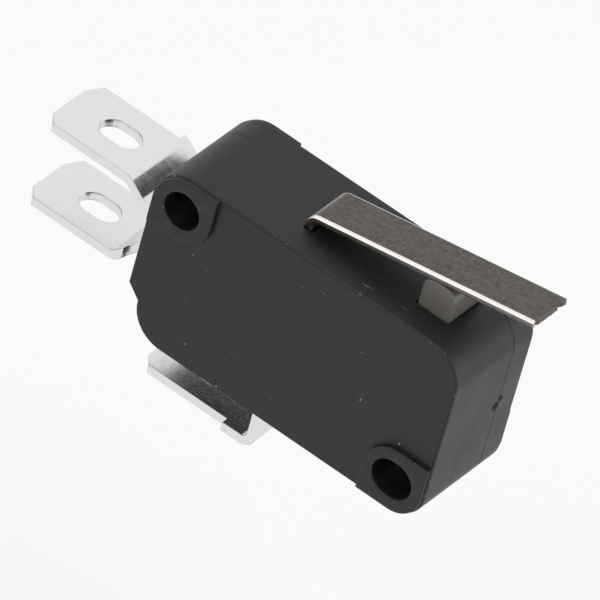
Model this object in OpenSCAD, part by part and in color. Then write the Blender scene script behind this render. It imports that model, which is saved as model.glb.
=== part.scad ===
// Miniature snap-action switch with a hinged lever.
// Frame: X along the case from the terminal end, Y through its thickness from
// the marked face to the cover, Z up towards the lever. The origin is the axis
// of the round mounting hole, halfway through the thickness. Sizes are in mm.

/* [Case] */
// Overall length of the case
case_len = 27.8; // [27:0.1:30]
// Height of the case without the plunger
case_h = 15.9; // [15.5:0.1:17]
// Thickness of the closed case between its broad faces
case_t = 9.5; // [9.3:0.1:11]
// Depth of the front shell, from the marked face to the parting line
shell_d = 7.05; // [6.9:0.05:7.3]
// Wall thickness round the edge of the case
edge_wall = 1.3; // [1.1:0.05:1.6]
// Wall thickness of the two broad faces
face_wall = 0.85; // [0.7:0.05:0.95]
// Thickness of the top wall that guides the plunger
top_wall = 1.2; // [1:0.05:1.5]
// Thickness of the ribs that guide the plunger's collar
rib_t = 0.8; // [0.6:0.05:0.9]
// Length of the block that holds the lever's foot
block_l = 4; // [3.6:0.1:4.4]
// Depth of that block below the lever's pivot
block_d = 1.2; // [1:0.05:1.4]
// Radius of the two upper corners
top_corner_r = 3; // [2.2:0.1:3.2]
// Radius of the lower corner at the free end
end_corner_r = 2.5; // [2:0.1:3]
// Radius of the lower corner at the terminal end
foot_corner_r = 2.8; // [2:0.1:3]
// How far the lower corner steps in below the terminals
foot_step = 1.1; // [0.6:0.1:1.4]
// Height of the stepped-in part of the terminal end
foot_h = 2.9; // [2.8:0.1:3.6]

/* [Mounting] */
// Distance from the round hole to the terminal end of the case
hole_in_x = 2.8; // [2.6:0.1:3.2]
// Distance from the round hole to the top of the case
hole_in_z = 2.8; // [2.6:0.1:3.2]
// Distance from the slotted hole to the free end of the case
hole_out_x = 2.8; // [2.6:0.1:3.2]
// Distance from the slotted hole to the bottom of the case
hole_out_z = 2.8; // [2.6:0.1:3.2]
// Diameter of the mounting holes
hole_d = 3.1; // [2.9:0.05:3.3]
// Extra length of the slotted hole
slot_extra = 0.4; // [0.2:0.1:0.8]
// Wall left round each mounting hole
hole_wall = 1.1; // [1:0.05:1.15]
// Height of the raised pads round the mounting holes
pad_h = 0.4; // [0.2:0.05:0.6]
// How far the pads stay inside the outline of the case
pad_in = 0.15; // [0.05:0.05:0.3]
// Diameter of the two locating pins of the cover
pin_d = 1.2; // [1:0.1:1.4]
// Length of the locating pins
pin_len = 2; // [1:0.1:3]
// Distance of the upper pin from the free end of the case
pin_in = 1.3; // [1.2:0.05:1.5]
// Distance of the lower pin from the stepped corner's two sides
pin_in_foot = 1.9; // [1.7:0.05:2]

/* [Terminals] */
// Thickness of the terminal sheet
tab_t = 0.8; // [0.6:0.05:0.85]
// Width of the tabs
tab_w = 6.3; // [5.8:0.1:6.4]
// Shoulder beside a tab
shoulder = 0.6; // [0.3:0.05:0.65]
// Length of the tabs outside the case
tab_len = 11.1; // [9.5:0.1:12]
// Corner cut at a tab's tip along the tab
tip_cut_x = 0.9; // [0.5:0.1:1.3]
// Corner cut at a tab's tip across the tab
tip_cut_y = 1.3; // [0.5:0.1:1.6]
// Length of the lead-in bevels on a tab's tip
bevel_l = 0.8; // [0.4:0.1:1.2]
// Depth of the lead-in bevels on a tab's tip
bevel_d = 0.22; // [0.1:0.02:0.3]
// Length of the solder slot in a tab
tab_slot_l = 3.4; // [2.6:0.1:4]
// Width of the solder slot in a tab
tab_slot_w = 2.3; // [1.6:0.1:2.6]
// Distance from the tip to the middle of the solder slot
tab_slot_in = 4.8; // [4:0.1:5.5]
// Clearance of the terminals in their seats
seat_gap = 0.03; // [0.02:0.01:0.05]
// Inside radius of the bends in the terminals
bend_r = 0.5; // [0.3:0.05:0.7]
// Height step of the normally closed terminal just outside the case
nc_step = 1.19; // [0.9:0.01:1.3]
// Angle of the normally closed terminal's step
nc_step_angle = 38; // [34:1:45]
// Straight run of the normally closed terminal between its step and the case
nc_run = 1.29; // [0.8:0.01:1.6]
// Height step of the normally open terminal just outside the case
no_step = 1.8; // [1.4:0.05:2]
// Angle of the normally open terminal's step
no_step_angle = 45; // [40:1:50]
// Straight run of the normally open terminal between its step and the case
no_run = 0.52; // [0.3:0.01:0.9]
// Radius of the relief in the normally open terminal's front edge at the case
no_relief_r = 1; // [0.6:0.1:1.1]
// Level of the normally closed terminal inside the case, below the round hole
nc_drop = 3.39; // [3.3:0.01:3.5]
// Opening between the inner ends of the two fixed terminals
inner_gap = 3.41; // [3.35:0.01:3.5]
// Length of the fixed terminals inside the case
inner_len = 6.4; // [6.1:0.1:7]
// Distance from the round hole to the middle of the common terminal's stem
com_x = 9.7; // [9:0.1:10.5]
// Gap between the case and the common tab below it
com_gap = 3.3; // [2.8:0.1:4]
// Length of the common tab, measured from the stem's far face
com_len = 11.15; // [10.5:0.05:12]
// Length of the common tab's narrow part
com_neck = 8.17; // [7:0.01:8.5]

/* [Contacts] */
// Distance from the round hole to the contacts
contact_x = 1.5; // [1.2:0.1:1.8]
// Diameter of the fixed contact heads
contact_d = 3; // [2.4:0.1:3.2]
// Height of the fixed contact heads
contact_h = 0.6; // [0.5:0.05:0.65]
// Diameter of the moving contact
moving_d = 2.8; // [2.2:0.1:3]
// Height of each face of the moving contact at its middle
moving_h = 0.55; // [0.5:0.01:0.6]
// Crown radius of the moving contact's faces
crown_r = 4; // [3:0.1:6]
// Diameter of the rivet shanks
rivet_d = 1.3; // [1:0.1:1.5]
// Thickness of the contact arm
arm_t = 0.3; // [0.25:0.05:0.35]
// Width of the contact arm
arm_w = 4.6; // [4.4:0.1:5]
// Angle of the contact arm above level, in the free position
arm_tilt = 5.73; // [5.5:0.01:5.9]
// Gap left between touching contacts
contact_gap = 0.02; // [0.01:0.01:0.04]
// Width of the opening in the arm and the stem for the spring
spring_gap = 2.5; // [2.3:0.1:2.7]
// Depth of the bearing notch in the common terminal
notch_d = 0.3; // [0.26:0.01:0.36]
// Height of the bearing notch
notch_h = 0.46; // [0.42:0.01:0.5]
// Height of the common terminal's prongs above the notch
prong_h = 0.9; // [0.6:0.1:1.2]
// Length of the strip at the window's end that the spring hooks on
strip_w = 0.8; // [0.6:0.05:0.9]
// Distance of that strip from the bearing edge
strip_x = 3.3; // [3:0.1:3.6]
// Length of the taper at the moving contact's end of the arm
arm_taper = 2.6; // [2:0.1:3]
// Diameter of the snap spring
spring_d = 1.8; // [1.6:0.1:1.9]
// Wire diameter of the snap spring
wire_d = 0.3; // [0.2:0.02:0.34]
// Number of turns of the snap spring
turns = 16; // [10:1:18]

/* [Plunger] */
// Distance from the slotted hole to the plunger along the case
plunger_in = 2.08; // [2:0.01:2.2]
// Size of the plunger along the case
plunger_l = 2.85; // [2.6:0.05:3]
// Size of the plunger across the case
plunger_w = 4.1; // [3.8:0.1:4.2]
// Radius of the plunger's crown
plunger_crown = 3; // [2.5:0.1:4]
// Radius of the edges beside the crown
plunger_edge = 0.8; // [0.5:0.1:1]
// Width of the plunger's collar along the case
collar_l = 4.4; // [4:0.1:4.6]
// Width of the plunger's collar across the case
collar_w = 5.8; // [5:0.1:6]
// Height of the plunger's collar
collar_h = 1.6; // [1.4:0.1:2]
// Diameter of the plunger's spring pin
hook_pin_d = 0.8; // [0.6:0.05:0.85]
// Distance of the spring pin above the fork's lower end
hook_up = 1; // [0.8:0.1:1.4]
// Size of the fork's prongs along the case
fork_l = 1.4; // [1.2:0.05:1.5]
// Size of the fork's prongs across the case
fork_w = 1; // [0.8:0.05:1]
// Length of the plunger's fork below its collar
fork_len = 6.5; // [6.3:0.1:6.7]
// Sliding clearance round the plunger
slide_gap = 0.1; // [0.06:0.01:0.12]

/* [Lever] */
// Length of the lever from its foot to its free end
lever_len = 20.15; // [12:0.05:30]
// Width of the lever
lever_w = 4.2; // [3.8:0.1:4.3]
// Thickness of the lever sheet
lever_t = 0.5; // [0.4:0.05:0.55]
// Angle of the lever above level, in the free position
lever_tilt = 9.9; // [9.9:0.01:10.2]
// Inside radius of the bend at the lever's foot
lever_bend_r = 0.5; // [0.3:0.05:0.7]
// Height of the lever's underside above its pivot
lever_rise = 1.97; // [1.97:0.01:2.1]
// Distance from the round hole to the lever's pivot along the case
pivot_x = 8.82; // [8.7:0.01:9]
// Depth of the lever's pivot below the top of the case
pivot_drop = 1.25; // [1.2:0.01:1.25]
// Length of each lug at the lever's foot
lug_l = 0.6; // [0.4:0.05:0.7]
// Gap between the lever and the plunger
lever_gap = 0.03; // [0.02:0.01:0.06]
// Running clearance of the lever's foot in its pocket
foot_gap = 0.06; // [0.04:0.01:0.1]

/* [Hidden] */
$fn = 64;
eps = 0.01;

// Outline of the case in X and Z
x0 = -hole_in_x;
x1 = x0 + case_len;
z1 = hole_in_z;
z0 = z1 - case_h;
// Thickness of the case in Y
y_face = case_t / 2;
y_part = -y_face + shell_d;
y_in = y_face - face_wall;
// How far blocks and cuts run past the case's outline
past = case_h / 2;
// The solid corners that carry the mounting holes
boss_r = hole_d / 2 + hole_wall;
slot_x = x1 - hole_out_x;
slot_z = z0 + hole_out_z;
// Terminal levels, as the middle of the sheet
nc_in_z = -nc_drop;
nc_out_z = nc_in_z + nc_step;
no_in_z = nc_in_z - tab_t - inner_gap;
no_out_z = no_in_z - no_step;
tip_x = x0 - tab_len;
base_w = tab_w + 2 * shoulder;
com_z = z0 - com_gap - tab_t / 2;
// Contacts
nc_face_z = nc_in_z - tab_t / 2 - contact_h;
no_face_z = no_in_z + tab_t / 2 + contact_h;
notch_x = com_x - tab_t / 2;
bearing_x = notch_x + notch_d - arm_t / 2 - contact_gap;
arm_reach = bearing_x - contact_x;
moving_half = moving_h + arm_t / 2;
arm_len = arm_reach / cos(arm_tilt);
bearing_z = nc_face_z - contact_gap - arm_len * sin(arm_tilt)
            - (moving_half - crown_r) * cos(arm_tilt) - crown_r;
// Lower end of the ribs that guide the plunger's collar
rib_z = nc_in_z + 1;
// Lever
plunger_x = slot_x - plunger_in;
pivot_z = z1 - pivot_drop;
lever_r = plunger_x - pivot_x;
foot_sweep = pivot_drop * sin(lever_tilt);
// Plunger: its crown touches the lever's underside
crown_z = pivot_z + (lever_rise - plunger_crown - lever_gap
          + lever_r * sin(lever_tilt)) / cos(lever_tilt);
collar_z = z1 - top_wall - slide_gap / 2;
fork_in = 0.08;
fork_y = spring_gap / 2 + fork_w / 4;
hook_z = collar_z - collar_h - fork_len + hook_up;
hook_x = plunger_x - collar_l / 2 + fork_in + fork_l / 2;
// Spring: coil radius to the middle of the wire
coil_r = (spring_d - wire_d) / 2;

// Extrudes a shape drawn in X and Z from ya to yb
module slab(ya, yb) {
    translate([0, yb, 0]) rotate([90, 0, 0]) linear_extrude(yb - ya) children();
}

// Outline of the case, with its stepped lower corner at the terminal end. The
// margin m moves its edges inwards.
module outline(m = 0) {
    difference() {
        translate([x0 + m, z0 + m]) square([case_len - 2 * m, case_h - 2 * m]);
        corner(x0 + m, z1 - m, top_corner_r - m, 1, -1);
        corner(x1 - m, z1 - m, top_corner_r - m, -1, -1);
        corner(x1 - m, z0 + m, end_corner_r - m, -1, 1);
        corner(x0 + foot_step, z0, foot_corner_r, 1, 1);
        polygon([[x0 - 1, z0 - 1], [x0 + foot_step, z0 - 1],
                 [x0 + foot_step, z0 + foot_h],
                 [x0, z0 + foot_h + foot_step], [x0 - 1, z0 + foot_h + foot_step]]);
    }
}

// The corner of a square that lies outside a round of radius r
module corner(x, z, r, sx, sz) {
    difference() {
        translate([x + (sx > 0 ? -1 : -r), z + (sz > 0 ? -1 : -r)]) square(r + 1);
        translate([x + sx * r, z + sz * r]) circle(r);
    }
}

// One mounting hole's solid corner, square to the case and round inside
module hole_block(hx, hz, sx, sz, reach) {
    translate([hx, hz]) circle(boss_r);
    translate([sx > 0 ? hx : hx - reach, sz > 0 ? hz - boss_r : hz - reach])
        square([reach, boss_r + reach]);
    translate([sx > 0 ? hx - boss_r : hx - reach, sz > 0 ? hz : hz - reach])
        square([boss_r + reach, reach]);
}

module hole_blocks() {
    hole_block(0, 0, -1, 1, past);
    hole_block(slot_x, slot_z, 1, -1, past);
}

// Raised pads round the mounting holes, just inside the case outline
module pads(ya, yb) {
    slab(ya, yb) intersection() {
        outline(pad_in);
        hole_blocks();
    }
}

// The two mounting holes, one round and one lengthened along the case
module mount_holes() {
    r = hole_d / 2;
    h = case_t + 2 * pad_h + 2;
    rotate([90, 0, 0]) cylinder(r = r, h = h, center = true);
    for (s = [-1, 1])
        translate([slot_x + s * slot_extra / 2, 0, slot_z])
            rotate([90, 0, 0]) cylinder(r = r, h = h, center = true);
    translate([slot_x, 0, slot_z]) cube([slot_extra, h, hole_d], center = true);
}

// Space for the mechanism, drawn in X and Z
module cavity_shape() {
    difference() {
        translate([x0 + edge_wall, z0 + edge_wall])
            square([case_len - 2 * edge_wall, case_h - edge_wall - top_wall]);
        hole_blocks();
        // the foot of the case is stepped in
        translate([x0, z0]) square([foot_step + edge_wall, foot_h + edge_wall]);
        // the block that holds the lever's foot
        translate([pivot_x - block_l / 2, pivot_z - block_d]) square([block_l, past]);
        // guide rib beside the plunger's collar, towards the lever's foot
        translate([plunger_x - collar_l / 2 - slide_gap - rib_t, rib_z])
            square([rib_t, past]);
        // guide rib at the free end
        translate([plunger_x + collar_l / 2 + slide_gap, rib_z]) square(past);
    }
}

// Slots that let the terminals out and the seats of their inner ends
module terminal_slots() {
    g = seat_gap;
    for (z = [nc_in_z, no_in_z])
        translate([x0 - 1, -tab_w / 2 - g, z - tab_t / 2 - g])
            cube([1 + inner_len, tab_w + shoulder + 2 * g, tab_t + 2 * g]);
    translate([com_x - tab_t / 2 - g, -base_w / 2 - g, z0 - 1])
        cube([tab_t + 2 * g, base_w + 2 * g, edge_wall + 1.5]);
}

// Slot and bearing chamber for the lever's foot and its lugs
module lever_pocket() {
    w = lever_w + 2 * slide_gap;
    r = lever_t / 2 + foot_gap;
    translate([pivot_x - r - foot_sweep, -w / 2, pivot_z - r])
        cube([2 * r + foot_sweep, y_part + w / 2 + eps, pivot_drop + r + 1]);
    translate([pivot_x - r, -w / 2 - lug_l, pivot_z - r])
        cube([2 * r, w + 2 * lug_l, 2 * r]);
}

// The cover's half of the lug chamber
module lever_lug_chamber() {
    r = lever_t / 2 + foot_gap;
    translate([pivot_x - r, y_part - 1, pivot_z - r])
        cube([2 * r, 1 - y_part + lever_w / 2 + slide_gap + lug_l, 2 * r]);
}

// Opening of the top wall round the plunger
module plunger_opening() {
    l = plunger_l + 2 * slide_gap;
    w = plunger_w + 2 * slide_gap;
    translate([plunger_x - l / 2, -w / 2, z1 - top_wall - eps])
        cube([l, y_part + w / 2 + eps, top_wall + 1]);
}

// Places for the cover's pins, in the two corners without a mounting hole
pin_places = [[x1 - pin_in, z1 - top_corner_r - 0.1],
              [x0 + foot_step + pin_in_foot, z0 + pin_in_foot]];

module pin_bosses() {
    for (p = pin_places) translate(p) circle(d = pin_d + 1.2);
}

// Front shell: marked face, edge walls, hole corners and guides
module case() {
    color([0.16, 0.155, 0.15]) {
        difference() {
            union() {
                slab(-y_face, y_part) outline();
                pads(-y_face - pad_h, -y_face);
            }
            slab(-y_in, y_part + 1) difference() {
                cavity_shape();
                pin_bosses();
            }
            mount_holes();
            terminal_slots();
            lever_pocket();
            plunger_opening();
            for (p = pin_places)
                translate([p[0], y_part + eps, p[1]]) rotate([90, 0, 0])
                    cylinder(d = pin_d + 0.04, h = pin_len + 0.1);
        }
    }
}

// Cover: closes the shell from behind, with two locating pins
module cover() {
    color([0.15, 0.145, 0.14]) {
        difference() {
            union() {
                slab(y_part, y_face) outline();
                pads(y_face, y_face + pad_h);
            }
            slab(y_part - 1, y_in) difference() {
                cavity_shape();
                pin_bosses();
            }
            mount_holes();
            terminal_slots();
            lever_lug_chamber();
        }
        for (p = pin_places)
            translate([p[0], y_part + 0.5, p[1]]) rotate([90, 0, 0])
                cylinder(d = pin_d, h = pin_len + 0.5);
    }
}

// Plunger: crowned button, collar below the top wall and a fork with the spring pin
module plunger() {
    color([0.62, 0.61, 0.6]) {
        // button
        slab(-plunger_w / 2, plunger_w / 2) {
            dx = plunger_l / 2 - plunger_edge;
            dz = sqrt(pow(plunger_crown - plunger_edge, 2) - dx * dx);
            translate([plunger_x, crown_z]) {
                intersection() {
                    circle(plunger_crown);
                    polygon([[0, 0], 3 * [-dx, dz], 3 * [dx, dz]]);
                }
                for (s = [-1, 1]) translate([s * dx, dz]) circle(plunger_edge);
            }
            translate([plunger_x - plunger_l / 2, collar_z - collar_h])
                square([plunger_l, crown_z + dz - collar_z + collar_h]);
        }
        // collar
        translate([plunger_x - collar_l / 2, -collar_w / 2, collar_z - collar_h])
            cube([collar_l, collar_w, collar_h]);
        // fork and pin
        for (s = [-1, 1])
            translate([plunger_x - collar_l / 2 + fork_in, s * fork_y - fork_w / 2,
                       collar_z - collar_h - fork_len])
                cube([fork_l, fork_w, fork_len + eps]);
        translate([hook_x, 0, hook_z]) rotate([90, 0, 0])
            cylinder(d = hook_pin_d, h = 2 * fork_y, center = true);
    }
}

// Lever: flat blade, bend, foot and two lugs, drawn level and tilted about its pivot
module lever() {
    r_out = lever_bend_r + lever_t;
    top = lever_rise + lever_t;
    color([0.45, 0.44, 0.43])
        translate([pivot_x, 0, pivot_z]) rotate([0, -lever_tilt, 0]) {
            slab(-lever_w / 2, lever_w / 2) {
                // blade
                translate([-lever_t / 2 + r_out, lever_rise])
                    square([lever_len - r_out, lever_t]);
                // bend
                translate([-lever_t / 2 + r_out, top - r_out]) intersection() {
                    difference() {
                        circle(r_out);
                        circle(lever_bend_r);
                    }
                    translate([-r_out, 0]) square(r_out);
                }
                // foot
                translate([-lever_t / 2, 0]) square([lever_t, top - r_out]);
                circle(d = lever_t);
            }
            rotate([90, 0, 0]) cylinder(d = lever_t, h = lever_w + 2 * lug_l - 0.1, center = true);
        }
}

// A bent sheet drawn in X and Z: each step is [length, turn in degrees]
module sheet(steps, t, r, i = 0) {
    if (i < len(steps)) {
        l = steps[i][0];
        a = steps[i][1];
        rc = r + t / 2;
        translate([0, -t / 2]) square([l, t]);
        if (a != 0) translate([l, 0]) {
            s = sign(a);
            translate([0, s * rc]) intersection() {
                difference() {
                    circle(r + t);
                    circle(r);
                }
                polygon([[0, 0], [0, -s * 9], [9 * tan(abs(a) / 2), -s * 9],
                         [9 * sin(abs(a)), -s * 9 * cos(a)]]);
            }
            translate([rc * sin(abs(a)), s * rc * (1 - cos(a))]) rotate([0, 0, a])
                sheet(steps, t, r, i + 1);
        }
        else translate([l, 0]) sheet(steps, t, r, i + 1);
    }
}

// Plan of a tab: cut corners and solder slot, tip at x = 0, pointing to -X
module tab_plan(l) {
    difference() {
        polygon([[0, -tab_w / 2 + tip_cut_y], [tip_cut_x, -tab_w / 2], [l, -tab_w / 2],
                 [l, tab_w / 2], [tip_cut_x, tab_w / 2], [0, tab_w / 2 - tip_cut_y]]);
        for (s = [-1, 1])
            translate([tab_slot_in + s * (tab_slot_l - tab_slot_w) / 2, 0]) circle(d = tab_slot_w);
        translate([tab_slot_in - (tab_slot_l - tab_slot_w) / 2, -tab_slot_w / 2])
            square([tab_slot_l - tab_slot_w, tab_slot_w]);
    }
}

// Takes the lead-in bevels off both faces of a tab whose tip is at x, z
module tip_bevels(x, z) {
    for (s = [-1, 1]) slab(-tab_w, tab_w) translate([x, z + s * tab_t / 2])
        polygon([[bevel_l, 0], [-bevel_l, -2 * s * bevel_d], [-bevel_l, s]]);
}
// A fixed terminal: tab outside, a step up or down, and a level inner end with
// the hole for its contact. The run is the straight part between step and case.
module fixed_terminal(z_out, z_in, angle, run) {
    dz = z_in - z_out;
    s = sign(dz);
    rc = bend_r + tab_t / 2;
    slope = (abs(dz) - 2 * rc * (1 - cos(angle))) / sin(angle);
    first = tab_len - run - 2 * rc * sin(angle) - slope * cos(angle);
    difference() {
        intersection() {
            slab(-tab_w / 2, tab_w / 2 + shoulder)
                translate([tip_x, z_out])
                    sheet([[first, s * angle], [slope, -s * angle], [run + inner_len, 0]],
                          tab_t, bend_r);
            translate([0, 0, -40]) linear_extrude(80) {
                translate([tip_x, 0]) tab_plan(first);
                translate([tip_x + first + 0.2, -tab_w / 2])
                    square([30, tab_w + shoulder]);
                translate([tip_x + first - 0.1, -tab_w / 2]) square([1, tab_w]);
            }
        }
        tip_bevels(tip_x, z_out);
        translate([contact_x, 0, z_in]) cylinder(d = rivet_d, h = 3, center = true);
    }
}

module nc_terminal() {
    color([0.86, 0.85, 0.83])
        fixed_terminal(nc_out_z, nc_in_z, nc_step_angle, nc_run);
}

module no_terminal() {
    color([0.86, 0.85, 0.83]) difference() {
        fixed_terminal(no_out_z, no_in_z, no_step_angle, no_run);
        translate([x0 - no_relief_r, -tab_w / 2 - 0.25, no_out_z])
            cylinder(r = no_relief_r, h = 10, center = true);
    }
}

// Common terminal: tab below the case, stem through the wall, and a forked post
// whose notches carry the contact arm
module common_terminal() {
    rc = bend_r + tab_t / 2;
    run = com_len - bend_r - tab_t;
    rise = z0 - com_z - rc;
    post = prong_h + bearing_z - z0;
    tip = com_x + tab_t / 2 - com_len;
    color([0.86, 0.85, 0.83]) difference() {
        intersection() {
            slab(-base_w / 2, base_w / 2)
                translate([tip, com_z]) sheet([[run, 90], [rise + post, 0]], tab_t, bend_r);
            union() {
                translate([tip, 0, com_z - 5]) linear_extrude(5 + tab_t) tab_plan(com_neck + 0.1);
                translate([tip + com_neck, -base_w / 2, com_z - 5])
                    cube([20, base_w, 5 + z0 - com_z + edge_wall]);
                translate([tip + com_neck, -tab_w / 2, z0]) cube([20, tab_w, 20]);
            }
        }
        tip_bevels(tip, com_z);
        // the spring passes between the two prongs
        translate([com_x - 2, -spring_gap / 2, bearing_z - 1.9]) cube([4, spring_gap, 20]);
        // bearing notches
        translate([notch_x - 1, -10, bearing_z - notch_h / 2]) cube([1 + notch_d, 20, notch_h]);
    }
}

// Fixed contact: flat head with its shank through the terminal
module fixed_contact(z_in, up) {
    color([0.8, 0.77, 0.7]) translate([contact_x, 0, z_in]) mirror([0, 0, up > 0 ? 0 : 1]) {
        translate([0, 0, tab_t / 2]) cylinder(d = contact_d, h = contact_h);
        translate([0, 0, -tab_t / 2]) cylinder(d = rivet_d, h = tab_t + eps);
    }
}

module nc_contact() { fixed_contact(nc_in_z, -1); }
module no_contact() { fixed_contact(no_in_z, 1); }

// Everything on the contact arm is drawn level, with the bearing edge at x = 0
module arm_place() {
    translate([bearing_x, 0, bearing_z]) rotate([0, arm_tilt, 0]) children();
}

// Moving contact: crowned on both faces
module moving_contact() {
    color([0.8, 0.77, 0.7]) arm_place() translate([-arm_len, 0, 0]) {
        for (s = [0, 1]) mirror([0, 0, s]) intersection() {
            translate([0, 0, arm_t / 2]) cylinder(d = moving_d, h = moving_h);
            translate([0, 0, moving_half - crown_r]) sphere(crown_r);
        }
        cylinder(d = rivet_d, h = arm_t + 2 * eps, center = true);
    }
}

// Contact arm: spring bronze blade with a window for the spring, a strip it hooks
// on and two legs with rounded noses
module contact_arm() {
    tip_r = moving_d / 2 + 0.4;
    leg_w = (arm_w - spring_gap) / 2;
    color([0.72, 0.5, 0.26]) arm_place() {
        translate([0, 0, -arm_t / 2]) linear_extrude(arm_t)
            difference() {
                union() {
                    translate([-arm_len + arm_taper, -arm_w / 2])
                        square([arm_len - arm_taper, arm_w]);
                    polygon([[-arm_len + arm_taper, -arm_w / 2],
                             [-arm_len + arm_taper, arm_w / 2],
                             [-arm_len, tip_r], [-arm_len, -tip_r]]);
                    translate([-arm_len, 0]) circle(tip_r);
                }
                translate([-arm_len, 0]) circle(d = rivet_d);
                translate([-strip_x + strip_w / 2, -spring_gap / 2])
                    square([strip_x, spring_gap]);
                translate([-strip_x - strip_w / 2 - 1, -0.6]) square([1, 1.2]);
            }
        // rounded noses that rock in the notches of the common terminal
        for (s = [-1, 1]) translate([0, s * (spring_gap + leg_w) / 2, 0])
            rotate([90, 0, 0]) cylinder(d = arm_t, h = leg_w, center = true);
    }
}

// Points of the spring along its own axis u, from the arm's strip to the plunger's pin
function spring_points(l) =
    let (u0 = coil_r + 0.9, u1 = l - coil_r - 0.9, n = (turns + 0.5) * 16)
    concat(
        [for (b = [20 : 25 : 270]) [coil_r * cos(b), 0, coil_r * sin(b)]],
        [[u0 * 0.5, 0, -coil_r]],
        [for (i = [0 : n]) [u0 + (u1 - u0) * i / n, coil_r * sin(i * 22.5), -coil_r * cos(i * 22.5)]],
        [[l - u0 * 0.5, 0, coil_r]],
        [for (b = [90 : -25 : -160]) [l + coil_r * cos(b), 0, coil_r * sin(b)]]
    );

function unit(v) = v / norm(v);
function tangent(p, i) = unit(p[min(i + 1, len(p) - 1)] - p[max(i - 1, 0)]);

// Sweeps a round wire along a list of points
module wire(p, d, sides = 6) {
    n = len(p);
    t = [for (i = [0 : n - 1]) tangent(p, i)];
    f = [for (i = 0, v = unit(cross(t[0], [0.3, 1, 0.2])); i < n;
              i = i + 1, v = i < n ? unit(v - (v * t[i]) * t[i]) : v) v];
    pts = [for (i = [0 : n - 1]) for (k = [0 : sides - 1])
        p[i] + d / 2 * (cos(k * 360 / sides) * f[i] + sin(k * 360 / sides) * cross(t[i], f[i]))];
    faces = concat(
        [[for (k = [sides - 1 : -1 : 0]) k]],
        [for (i = [0 : n - 2]) for (k = [0 : sides - 1])
            [i * sides + k, i * sides + (k + 1) % sides,
             (i + 1) * sides + (k + 1) % sides, (i + 1) * sides + k]],
        [[for (k = [0 : sides - 1]) (n - 1) * sides + k]]);
    polyhedron(points = pts, faces = [for (q = faces) [for (j = [len(q) - 1 : -1 : 0]) q[j]]]);
}

// Snap spring: tension coil from the contact arm to the plunger's pin
module snap_spring() {
    // middle of the loop on the arm's strip
    sx = strip_x - coil_r + wire_d / 2 + strip_w / 2 + 0.03;
    ax = bearing_x - sx * cos(arm_tilt);
    az = bearing_z + sx * sin(arm_tilt);
    px = hook_x - coil_r + wire_d / 2 + hook_pin_d / 2 + 0.03;
    pz = hook_z;
    l = norm([px - ax, pz - az]);
    a = atan2(az - pz, px - ax);
    color([0.75, 0.74, 0.72]) translate([ax, 0, az]) rotate([0, a, 0])
        wire(spring_points(l), wire_d);
}

case();
cover();
plunger();
lever();
common_terminal();
nc_terminal();
no_terminal();
nc_contact();
no_contact();
moving_contact();
contact_arm();
snap_spring();
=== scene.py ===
import math
import bmesh
import bpy
from mathutils import Matrix, Vector


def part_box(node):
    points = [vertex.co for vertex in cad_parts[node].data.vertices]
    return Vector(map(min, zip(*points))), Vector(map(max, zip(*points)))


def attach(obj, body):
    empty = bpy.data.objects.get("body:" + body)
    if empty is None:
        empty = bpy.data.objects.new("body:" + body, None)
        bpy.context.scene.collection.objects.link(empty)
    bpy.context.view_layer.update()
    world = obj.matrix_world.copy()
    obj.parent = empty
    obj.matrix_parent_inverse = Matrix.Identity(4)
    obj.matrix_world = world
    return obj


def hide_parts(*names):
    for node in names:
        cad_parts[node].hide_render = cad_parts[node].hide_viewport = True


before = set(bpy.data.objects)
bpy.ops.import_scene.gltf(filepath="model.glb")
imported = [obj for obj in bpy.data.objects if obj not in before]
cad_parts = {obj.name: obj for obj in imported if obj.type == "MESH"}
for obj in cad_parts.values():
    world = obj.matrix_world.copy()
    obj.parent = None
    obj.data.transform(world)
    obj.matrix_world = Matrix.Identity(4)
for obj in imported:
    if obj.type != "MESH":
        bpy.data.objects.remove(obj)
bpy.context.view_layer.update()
scene = bpy.context.scene
scene.view_settings.view_transform = "Standard"
MM = 0.001

# ---------------------------------------------------------------- camera
# A long lens from the front right and above. It is rolled, because the
# switch lies diagonally across the frame.
azimuth, elevation, roll = math.radians(26.585), math.radians(40.261), math.radians(-16.232)
back = Vector((math.sin(azimuth) * math.cos(elevation),
               -math.cos(azimuth) * math.cos(elevation), math.sin(elevation)))
right = Vector((0, 0, 1)).cross(back).normalized()
up = back.cross(right)
leaning_up = up * math.cos(roll) + right * math.sin(roll)
leaning_right = right * math.cos(roll) - up * math.sin(roll)
camera = bpy.data.objects.new("camera", bpy.data.cameras.new("camera"))
scene.collection.objects.link(camera)
camera.data.sensor_width = 36
camera.data.lens = 1007.47
camera.data.clip_start, camera.data.clip_end = 0.1, 20
look_at = Vector((8.949, -0.745, -4.80)) * MM
distance = 1.2103
camera.matrix_world = Matrix.Translation(look_at + back * distance) @ Matrix(
    (leaning_right, leaning_up, back)).transposed().to_4x4()
scene.camera = camera


# ---------------------------------------------------------------- floor and studio
# A pale floor in a plain white room, with a large soft lamp above and a small
# one in front. What is bright about them is their colour: the light is level.
def linear(hex_colour):
    """A colour written as sRGB hex, in linear light."""
    parts = [int(hex_colour[i:i + 2], 16) / 255 for i in (1, 3, 5)]
    return [c / 12.92 if c <= 0.04045 else ((c + 0.055) / 1.055) ** 2.4 for c in parts] + [1]


def add(tree, kind, links=None, **settings):
    """Adds a node. Capitalised settings are its sockets, the others its properties."""
    made = tree.nodes.new(kind)
    for key, value in settings.items():
        if key[0].isupper():
            made.inputs[key.replace("_", " ")].default_value = value
        else:
            setattr(made, key, value)
    for socket, output in (links or {}).items():
        tree.links.new(output, made.inputs[socket])
    return made


def empty_material(name):
    material = bpy.data.materials.new(name)
    material.use_nodes = True
    material.node_tree.nodes.clear()
    return material, material.node_tree


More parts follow.
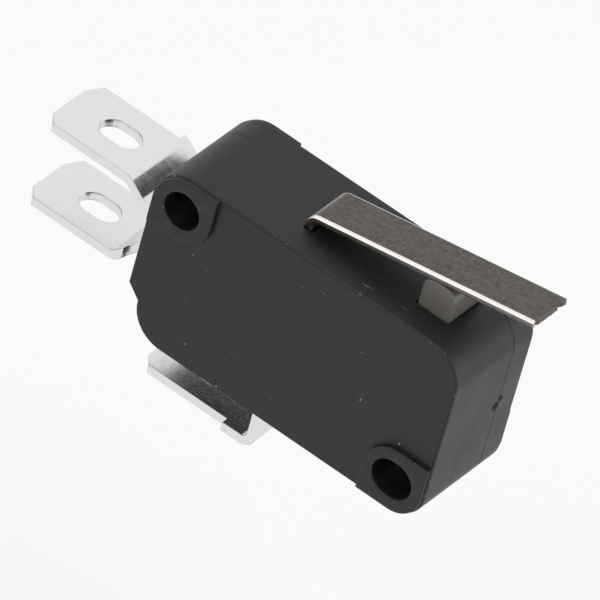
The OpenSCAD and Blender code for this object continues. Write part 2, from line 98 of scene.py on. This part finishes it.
def mesh_object(name, bm, material):
    """Turns a bmesh into an object at the origin."""
    data = bpy.data.meshes.new(name)
    bm.to_mesh(data)
    bm.free()
    made = bpy.data.objects.new(name, data)
    scene.collection.objects.link(made)
    data.materials.append(material)
    return made


def looked_at(tree):
    """1 where the camera, a shiny surface or a clear one looks, and 0 for soft light."""
    path = add(tree, "ShaderNodeLightPath")
    seen = path.outputs["Is Camera Ray"]
    for ray in ("Is Glossy Ray", "Is Transmission Ray"):
        seen = add(tree, "ShaderNodeMath", {0: seen, 1: path.outputs[ray]},
                   operation="MAXIMUM").outputs[0]
    return seen


# The paper shows only its upper side, so that the switch can be seen from below.
paper, tree = empty_material("white_paper")
matt = add(tree, "ShaderNodeBsdfDiffuse", Color=linear("#dcdcdc"))
white = add(tree, "ShaderNodeEmission", Color=linear("#ffffff"), Strength=0.30)
both = add(tree, "ShaderNodeAddShader", {0: matt.outputs[0], 1: white.outputs[0]})
front = add(tree, "ShaderNodeMixShader", {0: looked_at(tree), 1: matt.outputs[0],
                                          2: both.outputs[0]})
clear = add(tree, "ShaderNodeBsdfTransparent")
side = add(tree, "ShaderNodeNewGeometry")
face = add(tree, "ShaderNodeMixShader", {0: side.outputs["Backfacing"], 1: front.outputs[0],
                                         2: clear.outputs[0]})
add(tree, "ShaderNodeOutputMaterial", {"Surface": face.outputs[0]})
floor_z, floor_reach = -0.060, 1.5
bm = bmesh.new()
bmesh.ops.create_grid(bm, x_segments=2, y_segments=2, size=floor_reach)
bmesh.ops.translate(bm, verts=bm.verts, vec=(0, 0, floor_z))
mesh_object("floor", bm, paper)

room = bpy.data.worlds.new("studio")
scene.world = room
room.use_nodes = True
tree = room.node_tree
tree.nodes.clear()
strength = add(tree, "ShaderNodeMapRange", {0: looked_at(tree)}, To_Min=0.75, To_Max=1.0)
sky = add(tree, "ShaderNodeBackground", {"Strength": strength.outputs[0]},
          Color=linear("#ffffff"))
add(tree, "ShaderNodeOutputWorld", {"Surface": sky.outputs[0]})

for name, place, size, power in (("softbox_above", (0.25, -0.1, 0.6), 0.35, 0.55),
                                 ("softbox_right", (0.50, 0.30, 0.06), 0.35, 0.55),
                                 ("softbox_front", (-0.2, -0.39, 0.41), 0.22, 0.35)):
    lamp = bpy.data.objects.new(name, bpy.data.lights.new(name, "AREA"))
    lamp.data.size = size
    lamp.data.energy = power
    lamp.location = place
    lamp.rotation_mode = "QUATERNION"
    lamp.rotation_quaternion = Vector(place).to_track_quat("Z", "Y")
    scene.collection.objects.link(lamp)

# ---------------------------------------------------------------- case and cover
# Two compression-moulded shells of black phenolic, closed on each other. Their
# outer edges are eased by the mould, and a fine line shows where they meet.

same_point = 0.0005 * MM
same_height = 0.004
flat, rounded, crease = math.radians(0.4), math.radians(35), math.radians(31)


def moulded_copy(node, name, material, easings, triangles=False, shape=None):
    """A copy of a CAD node whose edges are rounded: easings are (size, segments, test).

    Faces with many corners are cut to triangles where asked, and shape alters the
    mesh before its edges are rounded.
    """
    bm = bmesh.new()
    bm.from_mesh(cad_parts[node].data)
    bmesh.ops.remove_doubles(bm, verts=bm.verts, dist=same_point)
    bmesh.ops.dissolve_limit(bm, angle_limit=flat, verts=bm.verts, edges=bm.edges,
                             use_dissolve_boundaries=False)
    if triangles:
        bmesh.ops.triangulate(bm, faces=[f for f in bm.faces if len(f.verts) > 4])
    if shape:
        shape(bm)
    for size, segments, test in easings:
        bm.normal_update()
        chosen = [e for e in bm.edges if len(e.link_faces) == 2 and e.is_convex
                  and e.calc_face_angle() > rounded and test(e)]
        bmesh.ops.bevel(bm, geom=chosen, offset=size * MM, offset_type="OFFSET", segments=segments,
                        profile=0.5, affect="EDGES", clamp_overlap=False)
    for f in bm.faces:
        f.smooth = True
    for e in bm.edges:
        e.smooth = not (len(e.link_faces) == 2 and e.calc_face_angle() > crease)
    made = mesh_object(name, bm, material)
    weighted = made.modifiers.new("flat_faces_stay_flat", "WEIGHTED_NORMAL")
    weighted.keep_sharp = True
    weighted.weight = 100
    evaluated = made.evaluated_get(bpy.context.evaluated_depsgraph_get())
    done = bpy.data.meshes.new_from_object(evaluated)
    made.modifiers.clear()
    made.data = done
    return made


def at(edge, axis, value):
    """Whether an edge lies at that height on an axis, in millimetres."""
    return all(abs(v.co[axis] / MM - value) < same_height for v in edge.verts)


def reach(edge, axis, value):
    """Whether a face beside the edge starts or ends at that height on an axis."""
    for f in edge.link_faces:
        heights = [v.co[axis] / MM for v in f.verts]
        nearest = min(abs(min(heights) - value), abs(max(heights) - value))
        if max(heights) - min(heights) > 0.1 and nearest < same_height:
            return True
    return False


# Moulded phenolic is a deep warm black with a soft satin skin. The mould's
# spark texture is about 0.2 mm, and handling leaves pale specks on it.
phenolic, tree = empty_material("moulded_black_phenolic")
here = add(tree, "ShaderNodeTexCoord").outputs["Object"]
grain = add(tree, "ShaderNodeTexNoise", {"Vector": here}, Scale=1 / (0.18 * MM), Detail=3.0,
            Roughness=0.6)
cloud = add(tree, "ShaderNodeTexNoise", {"Vector": here}, Scale=1 / (3 * MM), Detail=4.0,
            Roughness=0.6)
tone = add(tree, "ShaderNodeMix", {"Factor": cloud.outputs[0]}, data_type="RGBA")
tone.inputs[6].default_value = linear("#120f0d")
tone.inputs[7].default_value = linear("#1b1715")
specks = add(tree, "ShaderNodeTexNoise", {"Vector": here}, Scale=1 / (0.45 * MM), Detail=1.0)
few = add(tree, "ShaderNodeMapRange", {0: specks.outputs[0]}, From_Min=0.80, From_Max=0.83)
dusty = add(tree, "ShaderNodeMix", {"Factor": few.outputs[0]}, data_type="RGBA")
tree.links.new(tone.outputs[2], dusty.inputs[6])
dusty.inputs[7].default_value = linear("#8a8782")
# Short fine scratches, and pale dashes along the front edges that are a painted highlight.
slant = add(tree, "ShaderNodeMapping", {"Vector": here})
slant.inputs["Rotation"].default_value = (0.3, 0.2, 0.7)
slant.inputs["Scale"].default_value = (0.12, 1.0, 1.0)
scratch = add(tree, "ShaderNodeTexNoise", {"Vector": slant.outputs[0]}, Scale=1 / (0.16 * MM),
              Detail=0.0)
scratched = add(tree, "ShaderNodeMapRange", {0: scratch.outputs[0]}, From_Min=0.85, From_Max=0.92)
facing = add(tree, "ShaderNodeSeparateXYZ",
             {0: add(tree, "ShaderNodeNewGeometry").outputs["Normal"]})
turning = add(tree, "ShaderNodeMath", {0: facing.outputs["Y"]}, operation="COMPARE")
turning.inputs[1].default_value, turning.inputs[2].default_value = -0.6, 0.33
# Painted highlight: pale dashes on the edge faces that turn towards the front.
edge_glint_noise = add(tree, "ShaderNodeTexNoise", {"Vector": here}, Scale=1 / (0.5 * MM), Detail=3.0)
painted_edge_glints = add(tree, "ShaderNodeMapRange", {0: edge_glint_noise.outputs[0]}, From_Min=0.63, From_Max=0.70)
painted_edge_glints = add(tree, "ShaderNodeMath", {0: painted_edge_glints.outputs[0], 1: turning.outputs[0]},
              operation="MULTIPLY")
worn = add(tree, "ShaderNodeMath", {0: scratched.outputs[0], 1: painted_edge_glints.outputs[0]},
           operation="MAXIMUM")
scratches_and_glints = add(tree, "ShaderNodeMix", {"Factor": worn.outputs[0], 6: dusty.outputs[2]},
              data_type="RGBA")
scratches_and_glints.inputs[7].default_value = linear("#5e5a56")
skin = add(tree, "ShaderNodeMapRange", {0: cloud.outputs[0]}, From_Min=0.3, From_Max=0.7,
           To_Min=0.40, To_Max=0.50)
bump = add(tree, "ShaderNodeBump", {"Height": grain.outputs[0]}, Strength=1.0, Distance=0.035 * MM)
shader = add(tree, "ShaderNodeBsdfPrincipled",
             {"Base Color": scratches_and_glints.outputs[2], "Roughness": skin.outputs[0],
              "Normal": bump.outputs[0]}, IOR=1.5)
shader.inputs["Specular IOR Level"].default_value = 0.4
add(tree, "ShaderNodeOutputMaterial", {"Surface": shader.outputs[0]})

case_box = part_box("case")
pad_rise = 0.4
pad_y = case_box[0].y / MM
face_y = pad_y + pad_rise
part_y = case_box[1].y / MM
top_z = case_box[1].z / MM
case = moulded_copy("case", "case_shell", phenolic, [
    (0.05, 1, lambda e: at(e, 1, part_y) and reach(e, 1, face_y)),
    (0.18, 4, lambda e: at(e, 1, face_y)),
    (0.12, 3, lambda e: at(e, 1, pad_y)),
    (0.1, 2, lambda e: at(e, 2, top_z) and not at(e, 1, part_y)),
], triangles=True)
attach(case, "housing")
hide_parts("case")

rear_pad_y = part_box("cover")[1].y / MM
rear_y = rear_pad_y - pad_rise
cover = moulded_copy("cover", "cover_shell", phenolic, [
    (0.05, 1, lambda e: at(e, 1, part_y) and reach(e, 1, rear_y)),
    (0.18, 4, lambda e: at(e, 1, rear_y)),
    (0.12, 3, lambda e: at(e, 1, rear_pad_y)),
], triangles=True)
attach(cover, "housing")
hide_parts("cover")

# ---------------------------------------------------------------- gate mark
# Where the sprue was broken off, two rough spots stay on the end of the shells,
# across the parting line.
broken, tree = empty_material("broken_phenolic")
here = add(tree, "ShaderNodeTexCoord").outputs["Object"]
crumbs = add(tree, "ShaderNodeTexNoise", {"Vector": here}, Scale=1 / (0.12 * MM), Detail=4.0)
tone = add(tree, "ShaderNodeMix", {"Factor": crumbs.outputs[0]}, data_type="RGBA")
tone.inputs[6].default_value = linear("#0c0b0a")
tone.inputs[7].default_value = linear("#2b2826")
bump = add(tree, "ShaderNodeBump", {"Height": crumbs.outputs[0]}, Strength=0.8, Distance=0.04 * MM)
shader = add(tree, "ShaderNodeBsdfPrincipled", {"Base Color": tone.outputs[2],
                                                "Normal": bump.outputs[0]}, Roughness=0.8)
shader.inputs["Specular IOR Level"].default_value = 0.2
add(tree, "ShaderNodeOutputMaterial", {"Surface": shader.outputs[0]})
end_x = case_box[1].x / MM
proud = 0.06
bm = bmesh.new()
for y, z, size in ((2.08, -5.32, 0.42), (2.56, -4.80, 0.27)):
    spot = bmesh.ops.create_cone(bm, cap_ends=True, segments=18, radius1=size * MM,
                                 radius2=size * 0.8 * MM, depth=proud * MM)["verts"]
    bmesh.ops.rotate(bm, verts=spot, cent=(0, 0, 0), matrix=Matrix.Rotation(math.pi / 2, 3, "Y"))
    for v in spot:
        v.co.z *= 1.0 + 0.25 * math.sin(5 * math.atan2(v.co.z, v.co.y))
    bmesh.ops.translate(bm, verts=spot, vec=Vector((end_x, y, z)) * MM)
bmesh.ops.recalc_face_normals(bm, faces=bm.faces)
gate = mesh_object("gate_mark", bm, broken)
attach(gate, "housing")

# ---------------------------------------------------------------- plunger
# A grey moulded button with a crowned top, which the lever presses. Its collar
# and fork are out of sight inside the case.
acetal, tree = empty_material("moulded_grey_acetal")
here = add(tree, "ShaderNodeTexCoord").outputs["Object"]
grain = add(tree, "ShaderNodeTexNoise", {"Vector": here}, Scale=1 / (0.3 * MM), Detail=3.0)
bump = add(tree, "ShaderNodeBump", {"Height": grain.outputs[0]}, Strength=0.3, Distance=0.01 * MM)
cloud = add(tree, "ShaderNodeTexNoise", {"Vector": here}, Scale=1 / (1.5 * MM), Detail=3.0)
tone = add(tree, "ShaderNodeMix", {"Factor": cloud.outputs[0]}, data_type="RGBA")
tone.inputs[6].default_value = linear("#625f5c")
tone.inputs[7].default_value = linear("#73706c")
shader = add(tree, "ShaderNodeBsdfPrincipled",
             {"Base Color": tone.outputs[2], "Normal": bump.outputs[0]}, Roughness=0.36, IOR=1.48)
add(tree, "ShaderNodeOutputMaterial", {"Surface": shader.outputs[0]})
collar_z = top_z - 0.5
plunger = moulded_copy("plunger", "plunger_button", acetal, [
    (0.1, 3, lambda e: max(v.co.z for v in e.verts) / MM > collar_z)])
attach(plunger, "plunger")
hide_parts("plunger")

# ---------------------------------------------------------------- lever
# Cold-rolled steel strip, sheared to width and bent at its foot. Two lugs hinge
# it in the case, and its sheared edges are a little rounded.
strip_steel, tree = empty_material("cold_rolled_steel_strip")
here = add(tree, "ShaderNodeTexCoord").outputs["Object"]
mottle = add(tree, "ShaderNodeTexNoise", {"Vector": here}, Scale=1 / (0.4 * MM), Detail=6.0,
             Roughness=0.7)
blotch = add(tree, "ShaderNodeMapRange", {0: mottle.outputs[0]}, From_Min=0.3, From_Max=0.7)
tone = add(tree, "ShaderNodeMix", {"Factor": blotch.outputs[0]}, data_type="RGBA")
tone.inputs[6].default_value = linear("#484441")
tone.inputs[7].default_value = linear("#6f6a66")
# The upward faces along the edges of the strip, and the outside of the bend, are painted bright: a
# painted highlight, with some real burnish.
half_width = 2.1 * MM
place = add(tree, "ShaderNodeSeparateXYZ", {0: here})
facing = add(tree, "ShaderNodeSeparateXYZ",
             {0: add(tree, "ShaderNodeNewGeometry").outputs["Normal"]})
near_front = add(tree, "ShaderNodeMapRange", {0: place.outputs["Y"]},
                 From_Min=0.40 * MM - half_width, From_Max=0.30 * MM - half_width)
near_back = add(tree, "ShaderNodeMapRange", {0: place.outputs["Y"]},
                From_Min=half_width - 0.14 * MM, From_Max=half_width - 0.08 * MM)
upward = add(tree, "ShaderNodeMapRange", {0: facing.outputs["Z"]}, interpolation_type="SMOOTHSTEP",
             From_Min=-0.1, From_Max=0.5)
edges = add(tree, "ShaderNodeMath", {0: near_front.outputs[0], 1: near_back.outputs[0]},
            operation="MAXIMUM")
edges = add(tree, "ShaderNodeMath", {0: edges.outputs[0], 1: upward.outputs[0]},
            operation="MULTIPLY")
bent = add(tree, "ShaderNodeMapRange", {0: facing.outputs["X"]}, interpolation_type="SMOOTHSTEP",
           From_Min=-0.4, From_Max=-0.8, To_Max=0.6)
edges = add(tree, "ShaderNodeMath", {0: edges.outputs[0], 1: bent.outputs[0]}, operation="MAXIMUM")
# Painted highlight: near-white colour on the upward edge faces and on the outside of the foot.
burnish_and_highlight = add(tree, "ShaderNodeMix", {"Factor": edges.outputs[0], 6: tone.outputs[2]},
                data_type="RGBA")
burnish_and_highlight.inputs[7].default_value = linear("#f3efea")
rough = add(tree, "ShaderNodeMapRange", {0: mottle.outputs[0]}, From_Min=0.3, From_Max=0.7,
            To_Min=0.34, To_Max=0.46)
bump = add(tree, "ShaderNodeBump", {"Height": mottle.outputs[0]}, Strength=0.4, Distance=0.006 * MM)
shader = add(tree, "ShaderNodeBsdfPrincipled",
             {"Base Color": burnish_and_highlight.outputs[2], "Roughness": rough.outputs[0],
              "Normal": bump.outputs[0]}, Metallic=1.0)
add(tree, "ShaderNodeOutputMaterial", {"Surface": shader.outputs[0]})
lever_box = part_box("lever")
lever_tip = lever_box[1].x / MM
lug_y = lever_box[0].y / MM


# The torn stretch, and each bite's place across the strip, half width and depth.
torn = 0.25
bites = ((1.25, 0.16, 0.2), (-1.6, 0.12, 0.12))


def torn_end(bm):
    """Cuts the lever's free end unevenly, as a worn shear leaves it."""
    across = [e for e in bm.edges if all(v.co.x / MM > lever_tip - torn for v in e.verts)
              and abs(e.verts[0].co.y - e.verts[1].co.y) > 1 * MM]
    bmesh.ops.subdivide_edges(bm, edges=across, cuts=28, use_grid_fill=True)
    for v in bm.verts:
        if v.co.x / MM > lever_tip - torn:
            y = v.co.y / MM
            bite = sum(deep * math.exp(-((y - middle) / half) ** 2) for middle, half, deep in bites)
            v.co.x -= (0.06 + bite + 0.03 * math.sin(5.3 * y) * math.sin(13.1 * y + 1)) * MM


def in_end(edge):
    """Whether an edge is one of the short ones by the torn end, which stay sharp."""
    short = abs(edge.verts[0].co.x - edge.verts[1].co.x) < 1 * MM
    return short and any(v.co.x / MM > lever_tip - 0.55 for v in edge.verts)


# The first easing reaches only the end of the front lug, inside the case, and
# swells it there. The second one rounds the edges of the strip.
lever = moulded_copy("lever", "lever_strip", strip_steel, [
    (0.38, 6, lambda e: at(e, 1, lug_y) and not in_end(e)
     and max(f.normal.z - abs(f.normal.y) for f in e.link_faces) > 0.3),
    (0.1, 3, lambda e: not in_end(e)),
], shape=torn_end)
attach(lever, "lever")
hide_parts("lever")

# ---------------------------------------------------------------- terminals
# Stamped brass blades with bright tin plating. The plating is soft and smooth,
# and rounds the stamped edges a little.
tin, tree = empty_material("bright_tin_plating")
here = add(tree, "ShaderNodeTexCoord").outputs["Object"]
# Along the stamped edges, which turn from the flat faces to the cut ones, the colour is greyer: a
# painted dark reflection.
facing = add(tree, "ShaderNodeSeparateXYZ",
             {0: add(tree, "ShaderNodeNewGeometry").outputs["Normal"]})
turning = add(tree, "ShaderNodeMath", {0: facing.outputs["Y"]}, operation="ABSOLUTE")
leaves = add(tree, "ShaderNodeMapRange", {0: turning.outputs[0]}, interpolation_type="SMOOTHSTEP",
             From_Min=0.2, From_Max=0.4)
arrives = add(tree, "ShaderNodeMapRange", {0: turning.outputs[0]}, interpolation_type="SMOOTHSTEP",
              From_Min=0.9, From_Max=0.98, To_Min=1.0, To_Max=0.0)
edge = add(tree, "ShaderNodeMath", {0: leaves.outputs[0], 1: arrives.outputs[0]},
           operation="MULTIPLY")
tilted = add(tree, "ShaderNodeMath", {0: facing.outputs["Z"]}, operation="ABSOLUTE")
tilted = add(tree, "ShaderNodeMapRange", {0: tilted.outputs[0]}, From_Min=0.05, From_Max=0.2)
edge = add(tree, "ShaderNodeMath", {0: edge.outputs[0], 1: tilted.outputs[0]},
           operation="MULTIPLY")
# Painted reflection: the greyer colour on the stamped edge faces.
plating_and_edge_reflection = add(tree, "ShaderNodeMix", {"Factor": edge.outputs[0]}, data_type="RGBA")
plating_and_edge_reflection.inputs[6].default_value = linear("#e0e0e0")
plating_and_edge_reflection.inputs[7].default_value = linear("#b3aca6")
ripple = add(tree, "ShaderNodeTexNoise", {"Vector": here}, Scale=1 / (0.5 * MM), Detail=5.0,
             Roughness=0.65)
bump = add(tree, "ShaderNodeBump", {"Height": ripple.outputs[0]}, Strength=0.12, Distance=0.01 * MM)
rough = add(tree, "ShaderNodeMapRange", {0: ripple.outputs[0]}, From_Min=0.3, From_Max=0.7,
            To_Min=0.19, To_Max=0.30)
shader = add(tree, "ShaderNodeBsdfPrincipled",
             {"Base Color": plating_and_edge_reflection.outputs[2], "Roughness": rough.outputs[0],
              "Normal": bump.outputs[0]}, Metallic=1.0)
add(tree, "ShaderNodeOutputMaterial", {"Surface": shader.outputs[0]})
for node in ("common_terminal", "nc_terminal", "no_terminal"):
    blade = moulded_copy(node, node + "_blade", tin, [(0.09, 3, lambda e: True)])
    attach(blade, "housing")
    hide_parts(node)

# ---------------------------------------------------------------- contacts
# Silver alloy rivets, headed over in the blades and in the arm. The fixed ones
# have flat heads and the moving one has two.
silver, tree = empty_material("silver_alloy_rivet")
here = add(tree, "ShaderNodeTexCoord").outputs["Object"]
haze = add(tree, "ShaderNodeTexNoise", {"Vector": here}, Scale=1 / (0.4 * MM), Detail=4.0)
tone = add(tree, "ShaderNodeMix", {"Factor": haze.outputs[0]}, data_type="RGBA")
tone.inputs[6].default_value = linear("#d9d2c4")
tone.inputs[7].default_value = linear("#efece6")
shader = add(tree, "ShaderNodeBsdfPrincipled", {"Base Color": tone.outputs[2]}, Metallic=1.0,
             Roughness=0.3)
add(tree, "ShaderNodeOutputMaterial", {"Surface": shader.outputs[0]})


def made_of(node, material):
    """Gives a CAD node's own mesh its material."""
    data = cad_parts[node].data
    data.materials.clear()
    data.materials.append(material)


for node in ("nc_contact", "no_contact", "moving_contact"):
    made_of(node, silver)

# ---------------------------------------------------------------- contact arm
# Stamped from thin phosphor bronze, which is springy and a little brown. It
# rocks on two noses in the common terminal.
bronze, tree = empty_material("phosphor_bronze_strip")
here = add(tree, "ShaderNodeTexCoord").outputs["Object"]
haze = add(tree, "ShaderNodeTexNoise", {"Vector": here}, Scale=1 / (0.8 * MM), Detail=4.0)
tone = add(tree, "ShaderNodeMix", {"Factor": haze.outputs[0]}, data_type="RGBA")
tone.inputs[6].default_value = linear("#b98a55")
tone.inputs[7].default_value = linear("#cfa06a")
shader = add(tree, "ShaderNodeBsdfPrincipled", {"Base Color": tone.outputs[2]}, Metallic=1.0,
             Roughness=0.32)
add(tree, "ShaderNodeOutputMaterial", {"Surface": shader.outputs[0]})
made_of("contact_arm", bronze)

# ---------------------------------------------------------------- snap spring
# Bright drawn spring wire, wound into a tension coil with a loop at each end.
# It joins the arm to the common terminal.
wire_steel, tree = empty_material("drawn_spring_wire")
here = add(tree, "ShaderNodeTexCoord").outputs["Object"]
haze = add(tree, "ShaderNodeTexNoise", {"Vector": here}, Scale=1 / (0.3 * MM), Detail=3.0)
rough = add(tree, "ShaderNodeMapRange", {0: haze.outputs[0]}, To_Min=0.2, To_Max=0.35)
shader = add(tree, "ShaderNodeBsdfPrincipled", {"Roughness": rough.outputs[0]}, Metallic=1.0)
shader.inputs["Base Color"].default_value = linear("#c9c7c3")
add(tree, "ShaderNodeOutputMaterial", {"Surface": shader.outputs[0]})
made_of("snap_spring", wire_steel)
